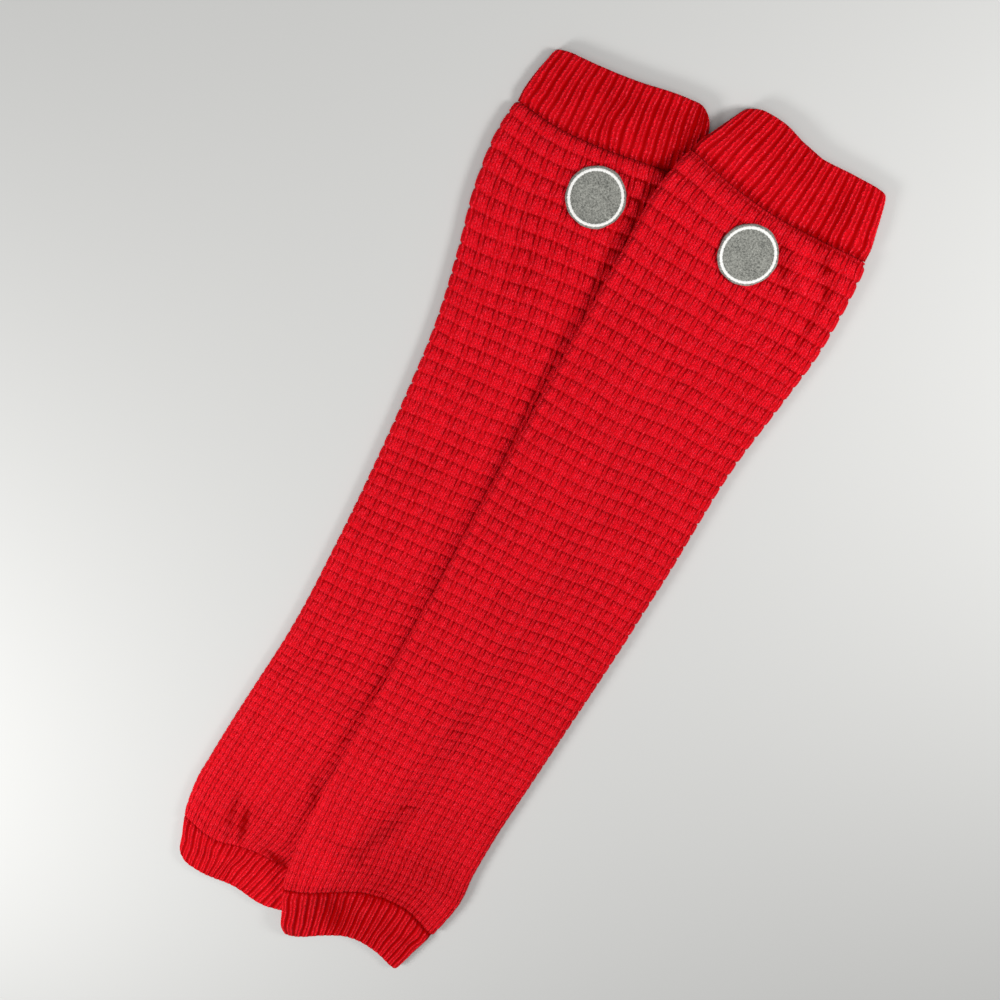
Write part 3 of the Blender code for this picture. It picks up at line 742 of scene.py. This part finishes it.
def waffle_heights(u, band, ankle, strength):
    """Height of the waffle knit over its rings, from a deep furrow below 0 to 1 on a crest.

    A cell is one narrow wale and a block of two. The narrow wale is a long loop that opens and
    shuts on a knot, with furrows beside it that are deepest at the top of a band. A furrow runs
    across the block at the top of each band. Towards the ankle the rows fade into plain wales.
    """
    v = np.mod(band, 1.0)
    cell = np.mod(u, WALES_IN_CELL)
    wale = np.mod(u, 1.0)
    narrow = cell < 1.0
    opened = np.sin(math.pi * np.clip((v + LOOP_ABOVE) / LOOP_LENGTH, 0.0, 1.0))
    from_middle = np.minimum(np.abs(cell - 0.5), np.abs(cell - 0.5 - WALES_IN_CELL))
    place = 0.5 - SIDE_DRAWN_IN * (1.0 - opened)
    reach = SIDE_REACH + SIDE_SPREAD * (1.0 - opened)
    side = smooth_step(1.0 - np.abs(from_middle - place) / reach)
    side = side * (SIDE_DEPTH + SIDE_DEPTH_AT_TOP * (1.0 - rise_from(v, *SIDE_FADE)))
    hole = HOLE_DEPTH * smooth_step(1.0 - from_middle / HOLE_REACH) * opened
    between = smooth_step(1.0 - np.abs(cell - 2.0) / BETWEEN_REACH)
    between = between * (BETWEEN_DEPTH + BETWEEN_DEPTH_AT_TOP * (1.0 - rise_from(v, *BETWEEN_FADE)))
    off_wale = np.abs(2.0 * wale - 1.0) ** WALE_POWER
    from_top = np.where(v < 0.5, v / (CROSS_REACH + CROSS_REACH_OFF_WALE * off_wale),
                        (1.0 - v) / CROSS_REACH_ABOVE)
    cross = smooth_step(1.0 - from_top) * np.where(narrow, CROSS_DEPTH_ON_LOOP,
                                                   CROSS_DEPTH + CROSS_DEPTH_OFF_WALE * off_wale)
    knot = KNOT_HEIGHT * np.exp(-(((v - KNOT_PLACE) / KNOT_REACH) ** 2))
    swell = BLOCK_SWELL * np.sin(math.pi * np.clip(v - BLOCK_START, 0.0, 1.0))
    pillow = np.where(narrow, LOOP_HEIGHT + knot, BLOCK_HEIGHT + swell)
    wale_dip = WALE_DIP * smooth_step(1.0 - np.abs(wale - 0.5) / WALE_DIP_REACH)
    cut = np.where(narrow, hole, wale_dip) + strength * (side + cross) + between
    ribbed = ANKLE_FURROW * (0.5 + 0.5 * np.cos(2.0 * math.pi * u)) ** WALE_POWER
    return np.clip(pillow - cut * (1.0 - ANKLE_FADE * ankle) - ribbed * ankle, DEEPEST, 1.0)


def band_to_y(leg, f):
    """The y of a ring's middle at a share of the leg from its top seam to its ankle seam."""
    length = leg.seams["top_seam"] - leg.seams["ankle_seam"]
    return leg.seams["top_seam"] - length * f * (1.0 + BAND_TAPER * (1.0 - f))


def make_leg(name, leg, seed):
    """The waffle-knit tube between the two ribs."""
    rng = np.random.default_rng(seed)
    first_wale, first_band = leg.start
    last_wale = first_wale + leg.cells * WALES_IN_CELL
    u = places_between(first_wale, last_wale, WALES_IN_CELL, CELL_PLACES)
    band = places_between(first_band, first_band + BANDS, 1.0, BAND_PLACES)
    knit = Knit(LEG_WALL, LEG_HOLLOW, BAND_RISE, u)
    share = (band - band[0]) / BANDS
    y = band_to_y(leg, share)
    ankle = rise_from(share, ANKLE_START, ANKLE_LENGTH)
    cells = np.floor(u / WALES_IN_CELL).astype(int)
    bands = np.floor(band).astype(int) - math.floor(band[0])
    by_cell = rng.normal(1.0, CELL_SPREAD, (bands.max() + 1, cells.max() + 1))
    strength = by_cell[bands[:, None], cells[None, :]]
    heights = waffle_heights(u[None, :], band[:, None], ankle[:, None], strength)
    heights = heights + soft_noise(rng, band, u, LEG_HEIGHT_NOISE)
    from_end = np.minimum(leg.seams["top_seam"] - y, y - leg.seams["ankle_seam"])
    loose = smooth_step(from_end / LOOSE_FROM_END)[:, None]
    slide_u = soft_noise(rng, band, u, LEG_ACROSS_NOISE) * loose
    slide_y = soft_noise(rng, band, u, LEG_ALONG_NOISE) * loose
    slide_u = slide_u * smooth_step(np.minimum(u - u[0], u[-1] - u) / LOOSE_FROM_SIDE)
    # Painted shade that deepens near each seam, and a painted shadow line along it
    painted_light = heights * smooth_step(LEG_PAINTED_LIGHT_AT_SEAM + from_end / SEAM_SHADE)[:, None]
    for seam in SEAM_SHADOW_LINE:
        near = 1.0 - smooth_step(np.abs(y - leg.seams[seam]) / SEAM_SHADOW_ON_LEG)
        painted_light = painted_light - leg.seam_shadow_line(seam) * near[:, None]
    outer = Rings(y, heights, -end_round(from_end, LEG_END_ROUND), band * COURSES_IN_BAND, painted_light,
                  slide_u, slide_y)
    return make_tube(name, leg, knit, outer, inner_rings(knit, y[-1], y[0], INNER_LEG_RINGS))


def rib_heights(u, course):
    """Height of the rib knit over its rings: two strands on each rib, and a wide furrow between."""
    from_middle = np.abs(np.mod(u, 1.0) - 0.5) * 2.0
    body = smooth_step((RIB_SHARE - from_middle) / RIB_SLOPE)
    arm = np.sin(math.pi * np.mod(course - ARM_SLOPE * from_middle, 1.0))
    dip = RIB_DIP * smooth_step(1.0 - from_middle / RIB_DIP_REACH)
    return body * (RIB_BODY + ARM_RISE * arm - dip)


def make_rib(name, leg, seam, edge, seed):
    """A ribbed tube from a seam of the leg out to its open, rounded edge."""
    rng = np.random.default_rng(seed)
    u = places_between(0.0, RIBS_ON_FACE, 1.0, [k / POINTS_PER_RIB for k in range(POINTS_PER_RIB)])
    knit = Knit(RIB_WALL, RIB_HOLLOW, RIB_RISE, u)
    seam_y, edge_y = leg.seams[seam], leg.seams[edge]
    length = abs(edge_y - seam_y)
    y = np.linspace(seam_y, edge_y, int(round(length / RIB_COURSE * RINGS_PER_COURSE)) + 1)
    from_seam, from_edge = np.abs(y - seam_y), np.abs(edge_y - y)
    at_seam = RIB_AT_SEAM + (1.0 - RIB_AT_SEAM) * smooth_step(from_seam / RIB_FADE)
    course = y / RIB_COURSE
    drift = soft_noise(rng, course, u, RIB_DRIFT_NOISE)
    heights = rib_heights(u[None, :], course[:, None] + drift) * at_seam[:, None]
    heights = heights + soft_noise(rng, course, u, RIB_HEIGHT_NOISE)
    # Painted shade in the rib's furrows and near its seam, and a painted shadow line along the seam
    furrow_shade = RIB_FURROW_SHADE * (1.0 - smooth_step(heights / RIB_FURROW_SHADE_TOP))
    painted_light = (heights - furrow_shade) * smooth_step(RIB_PAINTED_LIGHT_AT_SEAM + from_seam / SEAM_SHADE)[:, None]
    near = 1.0 - smooth_step(from_seam / SEAM_SHADOW_ON_RIB)
    painted_light = painted_light - leg.seam_shadow_line(seam) * near[:, None]
    at_edge = RIB_AT_EDGE + (1.0 - RIB_AT_EDGE) * smooth_step(from_edge / EDGE_FADE)
    heights = heights * at_edge[:, None]
    from_side = np.minimum(u, RIBS_ON_FACE - u)
    low = RIB_LOW_AT_SEAM * (1.0 - smooth_step(from_seam / RIB_FADE))
    off_side = rise_from(from_side, *LOW_FROM_SIDE)
    low = low[:, None] * (LOW_SHARE_AT_SIDE + (1.0 - LOW_SHARE_AT_SIDE) * off_side)
    heights = heights - low / RIB_RISE
    offset = -end_round(from_edge, 0.5 * RIB_WALL)
    slide_u = soft_noise(rng, course, u, RIB_ACROSS_NOISE)
    slide_u = slide_u * smooth_step(from_seam / RIB_FADE)[:, None]
    slide_u = slide_u * smooth_step(from_side / STILL_AT_SIDE)
    if leg.above is not None and seam == "ankle_seam":
        share = u / RIBS_ON_FACE
        swung = rise_from(share, *FAN_RISE) * smooth_step((1.0 - share) / FAN_FALL)
        slide_u = slide_u - LEFT_ANKLE_FAN * (from_seam / length)[:, None] * swung
    outer = Rings(y, heights, offset, course, painted_light, slide_u, 0.0 * slide_u)
    inner = inner_rings(knit, edge_y, seam_y, INNER_RIB_RINGS)
    inner.offset[0] = -0.5 * RIB_WALL
    # A tube that runs the other way from its seam turns its rings round, to keep its faces out
    if edge_y > seam_y:
        outer, inner = outer.turned_round(), inner.turned_round()
    return make_tube(name, leg, knit, outer, inner)


def crest_height(leg, x, y):
    """Height of the crests of a leg's upper panel at places, by its plan."""
    y_middle = np.array(y, float)
    for _ in range(SETTLE_ROUNDS):
        left, right = leg.sides(y_middle)
        y_middle = y_middle - (leg.y_at(y_middle, (x - left) / (right - left)) - y)
    left, right = leg.sides(y_middle)
    lift = leg.bed(x, y)[1] + leg.crown(x, y, (x - left) / (right - left))
    return 2.0 * (LEG_WALL + 0.5 * LEG_HOLLOW) + BAND_RISE + lift


def polar_mesh(name, leg, centre, radius, height, is_disc):
    """A closed round mesh that lies on a leg: rows of radii and heights over even angles.

    A disc's first and last rows are closed to a point, and a ring's rows meet each other.
    """
    rows, around = radius.shape
    angles = round_angles(around)
    x = centre[0] + radius * np.cos(angles)
    y = centre[1] + radius * np.sin(angles)
    points = np.stack([x, y + TABLE_SHIFT_Y, crest_height(leg, x, y) + height], axis=2).reshape(-1, 3)
    row, i = np.meshgrid(np.arange(rows - 1 if is_disc else rows), np.arange(around), indexing="ij")
    j, above = (i + 1) % around, (row + 1) % rows
    faces = np.stack([row * around + i, row * around + j, above * around + j, above * around + i],
                     axis=2).reshape(-1, 4)
    if is_disc:
        first, last = points[:around].mean(axis=0), points[-around:].mean(axis=0)
        even = np.arange(0, around, 2)
        under = [np.full(len(even), len(points)), (even + 2) % around, even + 1, even]
        over = [np.full(len(even), len(points) + 1), even, even + 1, (even + 2) % around]
        start = (rows - 1) * around
        over[1:] = [start + part for part in over[1:]]
        points = np.concatenate([points, [first, last]])
        faces = np.concatenate([faces, np.stack(under, axis=1), np.stack(over, axis=1)])
    return make_mesh(name, points, faces)


def round_angles(around):
    """Even angles all round."""
    return np.linspace(0.0, 2.0 * math.pi, around, endpoint=False)


def wavy(base, angles, waves):
    """A base with sine waves on it, each by its size, its count all round and its phase."""
    for size, count, phase in waves:
        base = base + size * np.sin(count * angles + phase)
    return base


def make_patch(name, leg, centre):
    """The felt disc: a soft, slightly uneven edge round a flat face."""
    top = PATCH_GAP + PATCH_THICKNESS
    uneven = wavy(1.0, round_angles(PATCH_AROUND), PATCH_WAVES)
    profile = np.array(PATCH_PROFILE)
    share = profile[:, :1]
    radius = PATCH_RADIUS * share * (1.0 + (uneven - 1.0) * (share > PATCH_EVEN_INSIDE))
    height = top * profile[:, 1:] + 0.0 * radius
    return polar_mesh(name, leg, centre, radius, height, is_disc=True)


def make_patch_ring(name, leg, centre):
    """The ring of satin stitch: radial stitches side by side, rounded over their padding."""
    angles = round_angles(RING_STITCHES * POINTS_PER_STITCH)
    wave = np.abs(np.sin(0.5 * RING_STITCHES * angles))
    half_width = RING_HALF_WIDTH + wavy(0.0, angles, RING_WAVES)
    turn = np.linspace(0.0, math.pi, RING_ROWS)[:, None]
    radius = RING_MIDDLE + half_width * np.cos(turn)
    rise = (RING_RISE + RING_SUNK) * np.sin(turn) ** RING_POWER
    rise = rise * (1.0 - STITCH_DEPTH + STITCH_DEPTH * wave)
    height = PATCH_GAP + PATCH_THICKNESS - RING_SUNK + rise
    return polar_mesh(name, leg, centre, radius, height, is_disc=False)


class Shader:
    """Builds a Principled material from maths on sockets."""

    def __init__(self, name):
        self.material = bpy.data.materials.new(name)
        self.material.use_nodes = True
        self.tree = self.material.node_tree
        self.principled = self.tree.nodes["Principled BSDF"]

    def node(self, kind, **settings):
        """A new node with its properties set."""
        made = self.tree.nodes.new(kind)
        for key, value in settings.items():
            setattr(made, key, value)
        return made

    def put(self, socket, value):
        """Links a socket into an input, or sets the input's own value."""
        if isinstance(value, bpy.types.NodeSocket):
            self.tree.links.new(value, socket)
        else:
            socket.default_value = value

    def maths(self, operation, *values, clamp=False):
        """The result of one Math node."""
        made = self.node("ShaderNodeMath", operation=operation, use_clamp=clamp)
        for socket, value in zip(made.inputs, values):
            self.put(socket, value)
        return made.outputs[0]

    def noise(self, vector, scale, detail, roughness=0.6):
        """Smooth noise from 0 to 1."""
        made = self.node("ShaderNodeTexNoise")
        self.put(made.inputs["Vector"], vector)
        made.inputs["Scale"].default_value = scale
        made.inputs["Detail"].default_value = detail
        made.inputs["Roughness"].default_value = roughness
        return made.outputs["Fac"]

    def mix(self, factor, first, second):
        """One colour mixed into another."""
        made = self.node("ShaderNodeMix", data_type="RGBA")
        self.put(made.inputs["Factor"], factor)
        self.put(made.inputs["A"], first)
        self.put(made.inputs["B"], second)
        return made.outputs["Result"]

    def place(self):
        """Object coordinates, in metres."""
        return self.node("ShaderNodeTexCoord").outputs["Object"]

    def bump(self, height, strength, distance):
        """A normal raised by a height."""
        made = self.node("ShaderNodeBump")
        made.inputs["Strength"].default_value = strength
        made.inputs["Distance"].default_value = distance
        self.put(made.inputs["Height"], height)
        return made.outputs["Normal"]

    def surface(self, inputs):
        """The material, once its surface's inputs are linked or set."""
        for name, value in inputs.items():
            self.put(self.principled.inputs[name], value)
        return self.material


def strand_crown(maths, off):
    """1 in the middle of a strand and 0 from its edge on, by the distance from its middle."""
    return maths("SUBTRACT", 1.0, maths("MULTIPLY", off, off), clamp=True)


def strand_of_waffle(maths, u, v):
    """A strand's crown and the distance from its wale's middle: two to a wale, and open loops."""
    cell = maths("FLOORED_MODULO", u, float(WALES_IN_CELL))
    band = maths("FRACT", maths("DIVIDE", v, float(COURSES_IN_BAND)))
    share = maths("DIVIDE", maths("ADD", band, LOOP_ABOVE), LOOP_LENGTH, clamp=True)
    opened = maths("SINE", maths("MULTIPLY", share, math.pi))
    loop = maths("MULTIPLY_ADD", opened, LOOP_OPENS, LOOP_SHUT)
    in_loop = maths("ABSOLUTE", maths("SUBTRACT", cell, 0.5))
    off_loop = maths("DIVIDE", maths("SUBTRACT", in_loop, loop), LOOP_STRAND)
    in_wale = maths("ABSOLUTE", maths("SUBTRACT", maths("FRACT", cell), 0.5))
    off_wale = maths("DIVIDE", maths("SUBTRACT", in_wale, WALE_STRAND_PLACE), WALE_STRAND)
    narrow = maths("LESS_THAN", cell, 1.0)
    step = maths("MULTIPLY", maths("SUBTRACT", off_loop, off_wale), narrow)
    return strand_crown(maths, maths("ADD", off_wale, step)), in_wale


def strand_of_rib(maths, u, v):
    """A strand's crown and the distance from its rib's middle: two to a rib, all along it."""
    in_rib = maths("ABSOLUTE", maths("SUBTRACT", maths("FRACT", u), 0.5))
    off = maths("DIVIDE", maths("SUBTRACT", in_rib, RIB_STRAND_PLACE), RIB_STRAND)
    return strand_crown(maths, off), in_rib


def knit_material(name, strand_of):
    """Dyed yarn: strands of twisted plies with painted highlights on their crowns and lit fibres, loose
    fibres, and painted shade in furrows, creases and along seams.
    """
    shader = Shader(name)
    maths = shader.maths
    place = shader.place()
    knit = shader.node("ShaderNodeUVMap", uv_map="knit").outputs["UV"]
    split = shader.node("ShaderNodeSeparateXYZ")
    shader.put(split.inputs[0], knit)
    sway = maths("MULTIPLY_ADD", shader.noise(place, *SWAY_NOISE), SWAY, -0.5 * SWAY)
    u = maths("ADD", split.outputs[0], sway)
    v = split.outputs[1]
    strand, across = strand_of(maths, u, v)
    slant = maths("MULTIPLY", across, 2.0 * ARM_SLOPE)
    drift = maths("MULTIPLY_ADD", shader.noise(place, *DRIFT_NOISE), PLY_DRIFT, slant)
    turns = maths("MULTIPLY", maths("MULTIPLY_ADD", v, PLIES, drift), 2.0 * math.pi)
    ply = maths("MULTIPLY_ADD", maths("SINE", turns), 0.5, 0.5)
    crown = maths("MULTIPLY", strand, maths("MULTIPLY_ADD", ply, 1.0 - PLY_LOW, PLY_LOW))
    fibres = shader.noise(place, *FIBRE_NOISE)
    raised = maths("MULTIPLY_ADD", fibres, FIBRE_RISE, crown)
    painted_light = shader.node("ShaderNodeAttribute", attribute_name="painted_light").outputs["Fac"]
    # Painted light: lighter where the painted light is high and on the strands' crowns as a painted
    # highlight, with flecks and clouds of tone by chance
    lit = maths("MULTIPLY_ADD", painted_light, LIT_BY_PAINTED_LIGHT, LIT_BASE)
    lit = maths("MULTIPLY_ADD", crown, LIT_BY_STRAND, lit)
    lit = maths("MULTIPLY_ADD", shader.noise(place, *FLECK_NOISE), LIT_BY_FLECK, lit)
    cloud = maths("MULTIPLY_ADD", shader.noise(place, *CLOUD_NOISE), LIT_BY_CLOUD, CLOUD_BASE)
    colour = shader.mix(maths("ADD", lit, cloud, clamp=True), YARN_DARK_AND_SHADED, YARN_LIT)
    # Painted highlights where lit fibres lie on the strands' crowns
    fibre_highlight = maths("MULTIPLY", maths("SUBTRACT", fibres, FIBRE_HIGHLIGHT_START, clamp=True), FIBRE_HIGHLIGHT_GAIN)
    colour = shader.mix(maths("MULTIPLY", fibre_highlight, crown, clamp=True), colour, YARN_FIBRE_HIGHLIGHT)
    # Painted shade deep in furrows, creases and along seams, where the yarn also loses its gloss
    hollow = maths("MULTIPLY", maths("SUBTRACT", SHADE_START, painted_light), SHADE_GAIN, clamp=True)
    return shader.surface({
        "Base Color": shader.mix(hollow, colour, YARN_SHADE),
        "Normal": shader.bump(raised, strength=1.0, distance=0.0005),
        "Roughness": 0.88,
        "Specular IOR Level": maths("MULTIPLY_ADD", hollow, -YARN_GLOSS, YARN_GLOSS),
        "Sheen Weight": 0.02,
        "Sheen Roughness": 0.5,
        "Sheen Tint": YARN_SHEEN,
    })


def felt_material(name):
    """Heather grey felt: light and dark fibres pressed flat."""
    shader = Shader(name)
    place = shader.place()
    speckle = shader.noise(place, *FELT_FIBRE_NOISE)
    clouds = shader.noise(place, *FELT_CLOUD_NOISE)
    clouds = shader.maths("MULTIPLY_ADD", clouds, FELT_CLOUDS, -0.5 * FELT_CLOUDS)
    sharp = shader.maths("MULTIPLY_ADD", speckle, FELT_GAIN, FELT_BASE)
    blend = shader.maths("ADD", sharp, clouds, clamp=True)
    return shader.surface({
        "Base Color": shader.mix(blend, FELT_DARK, FELT_LIGHT),
        "Normal": shader.bump(speckle, strength=0.6, distance=0.0003),
        "Roughness": 0.95,
        "Specular IOR Level": 0.15,
        "Sheen Weight": 0.25,
    })


def thread_material(name):
    """White embroidery thread with a silky gloss, darker in its grain."""
    shader = Shader(name)
    grain = shader.noise(shader.place(), *THREAD_NOISE)
    blend = shader.maths("MULTIPLY_ADD", grain, THREAD_GAIN, THREAD_BASE, clamp=True)
    return shader.surface({
        "Base Color": shader.mix(blend, THREAD_DEEP, THREAD),
        "Normal": shader.bump(grain, strength=0.3, distance=0.0001),
        "Roughness": 0.5,
        "Sheen Weight": 0.1,
    })


def flat_size(leg, start, end):
    """The cut of a tube of knit between two rings, its girth all round and its length, in metres."""
    y = np.linspace(leg.seams[start], leg.seams[end], RINGS_MEASURED)
    left, right = leg.sides(y)
    girth = 2.0 * float(np.mean(right - left))
    return girth * METRES, abs(leg.seams[start] - leg.seams[end]) * METRES


def dress(item, material, slot, *nodes):
    """Gives a piece its material, hangs it from the root body and hides the nodes that it stands for.
    The slot is not used.
    """
    item.data.materials.append(material)
    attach(item, "root")
    if nodes:
        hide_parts(*nodes)
    return item


def make_camera():
    """The photo's camera, from the plane's horizon and the picture's turn."""
    normal = np.array([CAMERA_FOCAL * HORIZON[0], CAMERA_FOCAL * HORIZON[1], 1.0])
    normal = Vector(normal / np.linalg.norm(normal))
    level = normal.rotation_difference(Vector((0.0, 0.0, 1.0))).to_matrix()
    turn = math.radians(PICTURE_TURN)
    spin = Matrix(((math.cos(turn), math.sin(turn), 0.0), (math.sin(turn), -math.cos(turn), 0.0),
                   (0.0, 0.0, -1.0)))
    axes = spin @ level @ Matrix.Diagonal((1.0, -1.0, -1.0))
    data = bpy.data.cameras.new("camera")
    data.sensor_width = SENSOR
    data.lens = SENSOR * CAMERA_FOCAL / PICTURE
    data.clip_start = CLIP_START
    camera = add_object("camera", data)
    place = [part * METRES for part in CAMERA_PLACE]
    camera.matrix_world = Matrix.Translation(place) @ axes.to_4x4()
    bpy.context.scene.camera = camera


def make_room():
    """A plain pale floor, two close lights, a wide one overhead and an even sky."""
    corners = [(x * FLOOR_HALF_SIDE, y * FLOOR_HALF_SIDE, FLOOR_LEVEL)
               for x, y in ((-1, -1), (1, -1), (1, 1), (-1, 1))]
    floor = make_mesh("floor", corners, [(0, 1, 2, 3)])
    paint = {"Base Color": FLOOR_PAINT, "Roughness": FLOOR_ROUGHNESS}
    floor.data.materials.append(Shader("floor_paint").surface(paint))
    for name, place, target, side, power in LIGHTS:
        data = bpy.data.lights.new(name, "AREA")
        data.size = side
        data.energy = power
        light = add_object(name, data)
        light.location = place
        light.rotation_euler = (Vector(target) - Vector(place)).to_track_quat("-Z", "Y").to_euler()
    world = bpy.data.worlds.new("sky")
    world.use_nodes = True
    background = world.node_tree.nodes["Background"].inputs
    background["Color"].default_value = SKY
    background["Strength"].default_value = SKY_STRENGTH
    bpy.context.scene.world = world
    bpy.context.scene.view_settings.view_transform = "Standard"


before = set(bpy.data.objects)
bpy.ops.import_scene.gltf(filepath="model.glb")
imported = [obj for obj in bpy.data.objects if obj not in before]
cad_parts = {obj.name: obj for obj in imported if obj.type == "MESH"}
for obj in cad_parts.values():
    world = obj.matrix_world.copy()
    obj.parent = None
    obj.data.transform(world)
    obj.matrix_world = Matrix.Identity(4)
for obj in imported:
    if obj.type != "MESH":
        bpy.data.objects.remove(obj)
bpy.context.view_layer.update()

make_camera()
make_room()

left_plan = LegWarmer(LEFT_RINGS, LEFT_CREASES, LEFT_SHADES, LEFT_CELLS, LEFT_START)
right_plan = LegWarmer(RIGHT_RINGS, RIGHT_CREASES, RIGHT_SHADES, RIGHT_CELLS, RIGHT_START)
left_plan.above = right_plan
right_plan.below = left_plan
plans = {"left": (left_plan, LEFT_PATCH), "right": (right_plan, RIGHT_PATCH)}
waffle = knit_material("waffle_knit", strand_of_waffle)
rib = knit_material("rib_knit", strand_of_rib)
felt = felt_material("heather_felt")
thread = thread_material("satin_thread")

for seed, (side, (leg, centre)) in enumerate(plans.items()):
    tube = dress(make_leg(f"{side}_leg_knit", leg, seed), waffle, "leg_knit", f"{side}_leg")
    flat_size(leg, "top_seam", "ankle_seam")
    for end, seam, edge in ENDS:
        cuff = dress(make_rib(f"{side}_{end}_knit", leg, seam, edge, seed), rib, "rib_knit",
                     f"{side}_{end}")
        flat_size(leg, seam, edge)
    stitching = dress(make_patch_ring(f"{side}_patch_ring", leg, centre), thread, "patch_felt")
    disc = dress(make_patch(f"{side}_patch_felt", leg, centre), felt, "patch_felt",
                 f"{side}_patch")
